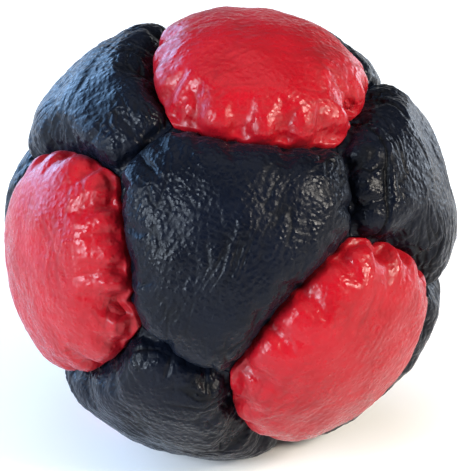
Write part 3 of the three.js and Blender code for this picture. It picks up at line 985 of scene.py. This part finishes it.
# The black panels. Eight pieces of the same leather, six-sided, that fill the spaces between the red
# ones. Three of a black panel's sides meet other black panels in short straight seams.
black_crown_mm = 0.25
black_roll_mm = 2.7
black_gather_mm = 0.7
black_wrinkle_mm = 0.16
black_crease_mm = 0.16
black_crown_shares = {"lower_front": 2, "front": 1.5, "upper_back": -2.4}
black_wrinkle_shares = {"lower_front": 0.4375, "front": 0.625}
black_neighbours = {
    "front": ("lower_right", "top", "left"),
    "upper_left": ("upper_back", "top", "left"),
    "right": ("lower_right", "top", "right_back"),
    "lower_front": ("lower_right", "bottom", "left"),
    "upper_back": ("upper_back", "top", "right_back"),
    "left_back": ("upper_back", "bottom", "left"),
    "lower_right": ("lower_right", "bottom", "right_back"),
    "lower_back": ("upper_back", "bottom", "right_back"),
}
black_flows = {
    "front": (0.3, 0.3, 1),
    "upper_left": (0.3, -0.3, 1),
    "right": (-0.1, 0.2, 1),
    "lower_front": (1, 0.1, -0.3),
    "upper_back": (0.2, 1, 0.2),
    "left_back": (0.1, 0.4, 1),
    "lower_right": (0.2, 0.6, 1),
    "lower_back": (1, 0.2, 0.5),
}


def black_corners(name):
    """The six corners of a black panel, anticlockwise as seen from outside."""
    x, y, z = black_neighbours[name]
    loop = [x + ">" + y, y + ">" + x, y + ">" + z, z + ">" + y, z + ">" + x, x + ">" + z]
    if red_directions[x].cross(red_directions[y]).dot(red_directions[z]) < 0:
        loop.reverse()
    return loop


black_folds = {
    "right": [
        (3.64, 5.18, 0.5, 0.32, 1.2), (3.48, 5.36, 0.3, 0.25, 0.7), (3.25, 5.65, 0.2, 0.3, 0.5),
        (2.6, 0.4, 0.12, 0.35, 0.6), (2.3, 0.2, 0.12, 0.35, 0.7),
    ],
    "front": [
        (0.5, 3.4, 0.125, 0.5, 0.3), (2.5, 5.4, 0.125, 0.5, 0.35), (4.5, 1.5, 0.15, 0.5, 0.35),
        (1.35, 4.6, 0.1, 0.3, 0.3),
    ],
    "upper_left": [
        (1.3, 4.4, 0.15, 0.4, 0.6), (1.6, 4.2, 0.125, 0.4, 0.8), (2.5, 5.4, 0.1, 0.4, 0.5),
        (3.4, 0.7, 0.125, 0.35, 0.5),
    ],
    "lower_front": [
        (1.3, 4.5, 0.125, 0.5, 0.5), (3.5, 0.6, 0.125, 0.5, 0.6), (5.4, 2.4, 0.15, 0.5, 0.4),
    ],
    "upper_back": [
        (0.5, 3.5, 0.15, 0.4, 0.7), (1.4, 4.6, 0.125, 0.4, 0.5), (3.3, 0.2, 0.15, 0.5, 0.4),
    ],
    "left_back": [
        (0.4, 3.3, 0.15, 0.4, 0.6), (2.5, 5.5, 0.15, 0.5, 0.8), (4.6, 1.4, 0.125, 0.4, 0.5),
    ],
    "lower_right": [
        (0.6, 3.6, 0.15, 0.5, 0.6), (2.4, 5.3, 0.15, 0.4, 0.6), (4.4, 1.6, 0.15, 0.4, 0.5),
    ],
    "lower_back": [
        (0.5, 3.4, 0.15, 0.5, 0.5), (2.6, 5.6, 0.125, 0.4, 0.8), (4.5, 1.3, 0.15, 0.5, 0.4),
    ],
}

black_leather = leather("black_leather", {
    "deep_dye_and_crease_shade": (0.001, 0.0013, 0.0025),
    "thin_dye": (0.003, 0.0045, 0.01),
    "gloss": 0.12,
    "sheen": 0.012,
    "sheen_tint": (0.5, 0.7, 1),
    "domes_per_metre": 1600,
    "dome_height_mm": 0.1,
})

for name in black_neighbours:
    leather_panel(
        "black_panel_" + name,
        black_corners(name),
        black_crown_mm * black_crown_shares.get(name, 1),
        {
            "roll_mm": black_roll_mm,
            "gather_mm": black_gather_mm,
            "flow": black_flows[name],
            "wrinkle_mm": black_wrinkle_mm * black_wrinkle_shares.get(name, 1),
            "crease_mm": black_crease_mm,
            "folds": black_folds[name],
        },
        black_leather,
    )

# The thread. Two plies of black waxed thread are twisted together. One length goes round each red
# panel, from hole to hole and from rim to rim, and is knotted at the panel's first corner, and a short
# length sews each seam between two black panels, with a knot at both ends.
thread_mm = 0.6
ply_offset_mm = 0.15
twist_mm = 1.4
knot_length_mm = 1
knot_swell = 0.7
sewn_radius_mm = 23.6
sewn_inset_mm = 1.5
path_step_mm = 0.2
ply_points = 12
fibre_scale = 6000
fibre_height_mm = 0.03
dark_wax = (0.004, 0.004, 0.005)
worn_wax = (0.014, 0.014, 0.016)
thread_easing_rounds = 3

black_thread, nodes, links, wax = new_material("black_thread")
wax.inputs["Roughness"].default_value = 0.55
where = nodes.new("ShaderNodeTexCoord")
fibres = nodes.new("ShaderNodeTexNoise")
fibres.inputs["Scale"].default_value = fibre_scale
fibres.inputs["Detail"].default_value = 3
fibre_bump = nodes.new("ShaderNodeBump")
fibre_bump.inputs["Distance"].default_value = fibre_height_mm * mm
links.new(where.outputs["Object"], fibres.inputs["Vector"])
two_tones(nodes, links, fibres.outputs["Fac"], dark_wax, worn_wax, wax)
links.new(fibres.outputs["Fac"], fibre_bump.inputs["Height"])
links.new(fibre_bump.outputs["Normal"], wax.inputs["Normal"])

ply_data = bpy.data.curves.new("two_plies", "CURVE")
ply_data.dimensions = "2D"
plies = ply_data.splines.new("POLY")
plies.points.add(ply_points - 1)
plies.use_cyclic_u = True
for i, point in enumerate(plies.points):
    around = 2 * math.pi * i / ply_points
    reach = thread_mm / 2 - ply_offset_mm / 2 * (1 - math.cos(2 * around))
    point.co = (reach * math.cos(around) * mm, reach * math.sin(around) * mm, 0, 1)
two_plies = bpy.data.objects.new("two_plies", ply_data)


def evenly(path, is_loop):
    """The same path with a point every step, its bends eased."""
    path = np.array(path)
    closed = np.vstack([path, path[:1]]) if is_loop else path
    run = np.concatenate([[0], np.cumsum(np.linalg.norm(np.diff(closed, axis=0), axis=1))])
    count = int(run[-1] / path_step_mm)
    at = np.linspace(0, run[-1], count, endpoint=not is_loop)
    even = np.column_stack([np.interp(at, run, closed[:, k]) for k in range(3)])
    for _ in range(thread_easing_rounds):
        before, after = np.roll(even, 1, axis=0), np.roll(even, -1, axis=0)
        eased = (before + even + after) / 3
        if not is_loop:
            eased[0], eased[-1] = even[0], even[-1]
        even = eased
    return even


def sewn(node, path, is_loop, knots_mm):
    """One length of thread along a path, knotted at these places along it."""
    points = pressed_flat(evenly(path, is_loop), leather_mm)
    data = bpy.data.curves.new(node, "CURVE")
    data.dimensions = "3D"
    data.twist_mode = "MINIMUM"
    data.bevel_mode = "OBJECT"
    data.bevel_object = two_plies
    data.use_fill_caps = not is_loop
    line = data.splines.new("POLY")
    line.points.add(len(points) - 1)
    line.use_cyclic_u = is_loop
    total_mm = len(points) * path_step_mm
    turns = round(total_mm / twist_mm) if is_loop else total_mm / twist_mm
    for i, point in enumerate(line.points):
        place = (Vector(points[i]) + bag_middle_mm) * mm
        point.co = (*place, 1)
        point.tilt = 2 * math.pi * turns * i / len(points)
        away_mm = min(abs(i * path_step_mm - knot) for knot in [k % total_mm for k in knots_mm])
        point.radius = 1 + knot_swell * math.exp(-((away_mm / (knot_length_mm / 2)) ** 4))
    drawn = stand(node + "_drawn", data)
    graph = bpy.context.evaluated_depsgraph_get()
    mesh = bpy.data.meshes.new_from_object(drawn.evaluated_get(graph))
    bpy.data.objects.remove(drawn)
    mesh.materials.clear()
    mesh.materials.append(black_thread)
    for face in mesh.polygons:
        face.use_smooth = True
    thread = stand(node + "_twist", mesh)
    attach(thread, "root")
    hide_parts(node)


def hole_shares(side):
    """Where the needle holes are, as shares of the way along a seam."""
    first = corner_to_hole_mm / side.length_mm
    return np.linspace(first, 1 - first, side.stitches)


for name in red_directions:
    outline = Outline(red_corners(name), red_roll_mm)
    path = []
    behind_red = True
    for i, side in enumerate(outline.sides):
        path.append(outline.seam(np.array([float(i)]), sewn_inset_mm, sewn_radius_mm)[0])
        for share in hole_shares(side):
            for inset_mm in (sewn_inset_mm, -sewn_inset_mm)[:: 1 if behind_red else -1]:
                path.append((side.at([share]) * sewn_radius_mm + side.inward([share]) * inset_mm)[0])
            behind_red = not behind_red
    sewn("red_panel_thread_" + name, path, True, [0])

for one, name in enumerate(black_neighbours):
    for other in list(black_neighbours)[one + 1 :]:
        shared = set(black_corners(name)) & set(black_corners(other))
        if len(shared) != 2:
            continue
        side = Side(*sorted(shared))
        path = []
        for i, share in enumerate(hole_shares(side)):
            for inset_mm in (sewn_inset_mm, -sewn_inset_mm)[:: -1 if i % 2 else 1]:
                path.append((side.at([share]) * sewn_radius_mm + side.inward([share]) * inset_mm)[0])
        sewn("thread_" + name + "_to_" + other, path, False, [0, -knot_length_mm / 2])

# The filling. Thousands of small plastic pellets, each a rounded disc, lie packed against the leather
# and against one another. Only a glimpse of them could be had through a seam.
pellet_mm = 2.4
pellet_tall_mm = 2
pellet_round_mm = 0.45
fill_clear_mm = 0.3
groove_half_mm = 4.2
batch_scale = 380
dull_white = (0.62, 0.62, 0.58)
pale_white = (0.78, 0.78, 0.74)
long_seam_points = 30
short_seam_points = 15
pellet_seed = 7

pale_plastic, nodes, links, plastic = new_material("pale_plastic")
plastic.inputs["Roughness"].default_value = 0.4
where = nodes.new("ShaderNodeTexCoord")
batch = nodes.new("ShaderNodeTexVoronoi")
batch.inputs["Scale"].default_value = batch_scale
links.new(where.outputs["Object"], batch.inputs["Vector"])
two_tones(nodes, links, batch.outputs["Distance"], dull_white, pale_white, plastic)

dice = random.Random(pellet_seed)
fill_radius_mm = edge_radius_mm - leather_mm - fill_clear_mm - pellet_mm / 2
groove_radius_mm = rim_radius_mm - fill_clear_mm - pellet_mm / 2
seam_line = []
for name in red_directions:
    for side in Outline(red_corners(name), red_roll_mm).sides:
        seam_line += [Vector(p) for p in side.at(np.linspace(0, 1, long_seam_points))]
for name in black_neighbours:
    for side in Outline(black_corners(name), black_roll_mm).sides:
        if not side.is_long:
            seam_line += [Vector(p) for p in side.at(np.linspace(0, 1, short_seam_points))]
seam_tree = kdtree.KDTree(len(seam_line))
for i, direction in enumerate(seam_line):
    seam_tree.insert(direction, i)
seam_tree.balance()

bm = bmesh.new()
bmesh.ops.create_cone(
    bm,
    cap_ends=True,
    segments=8,
    radius1=pellet_mm / 2 * mm,
    radius2=pellet_mm / 2 * mm,
    depth=pellet_tall_mm * mm,
)
cap_edges = [e for e in bm.edges if abs(e.verts[0].co.z - e.verts[1].co.z) < pellet_round_mm * mm]
bmesh.ops.bevel(
    bm,
    geom=cap_edges,
    offset=pellet_round_mm * mm,
    affect="EDGES",
    segments=1,
    profile=0.5,
    material=-1,
)
for face in bm.faces:
    face.smooth = True
one_pellet = bpy.data.meshes.new("one_pellet")
bm.to_mesh(one_pellet)
bm.free()

bm = bmesh.new()
pitch_mm = math.hypot(pellet_mm, pellet_tall_mm)
layer_mm = pitch_mm * math.sqrt(2 / 3)
row_mm = pitch_mm * math.sqrt(3) / 2
floor_mm = leather_mm + fill_clear_mm + pitch_mm / 2 - bag_middle_mm.z
layers = range(-int(fill_radius_mm / layer_mm) - 1, int(fill_radius_mm / layer_mm) + 2)
for a in layers:
    for b in layers:
        for c in layers:
            place = Vector((
                (c + 0.5 * (b % 2) + 0.5 * (a % 2)) * pitch_mm,
                (b + (a % 2) / 3) * row_mm,
                a * layer_mm,
            ))
            if place.length < pitch_mm:
                away_mm = edge_radius_mm
            else:
                away_mm = seam_tree.find(place.normalized())[2] * edge_radius_mm
            most_mm = fill_radius_mm if away_mm > groove_half_mm else groove_radius_mm
            if place.length > most_mm or place.z < floor_mm:
                continue
            lying = Vector((dice.gauss(0, 1), dice.gauss(0, 1), dice.gauss(0, 1))).to_track_quat("Z", "Y")
            put = Matrix.LocRotScale((place + bag_middle_mm) * mm, lying, None)
            one_pellet.transform(put)
            bm.from_mesh(one_pellet)
            one_pellet.transform(put.inverted())
pellet_mesh = bpy.data.meshes.new("pellets")
bm.to_mesh(pellet_mesh)
bm.free()
pellet_mesh.materials.append(pale_plastic)
pellets = stand("pellets", pellet_mesh)
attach(pellets, "root")
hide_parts("pellet_fill")
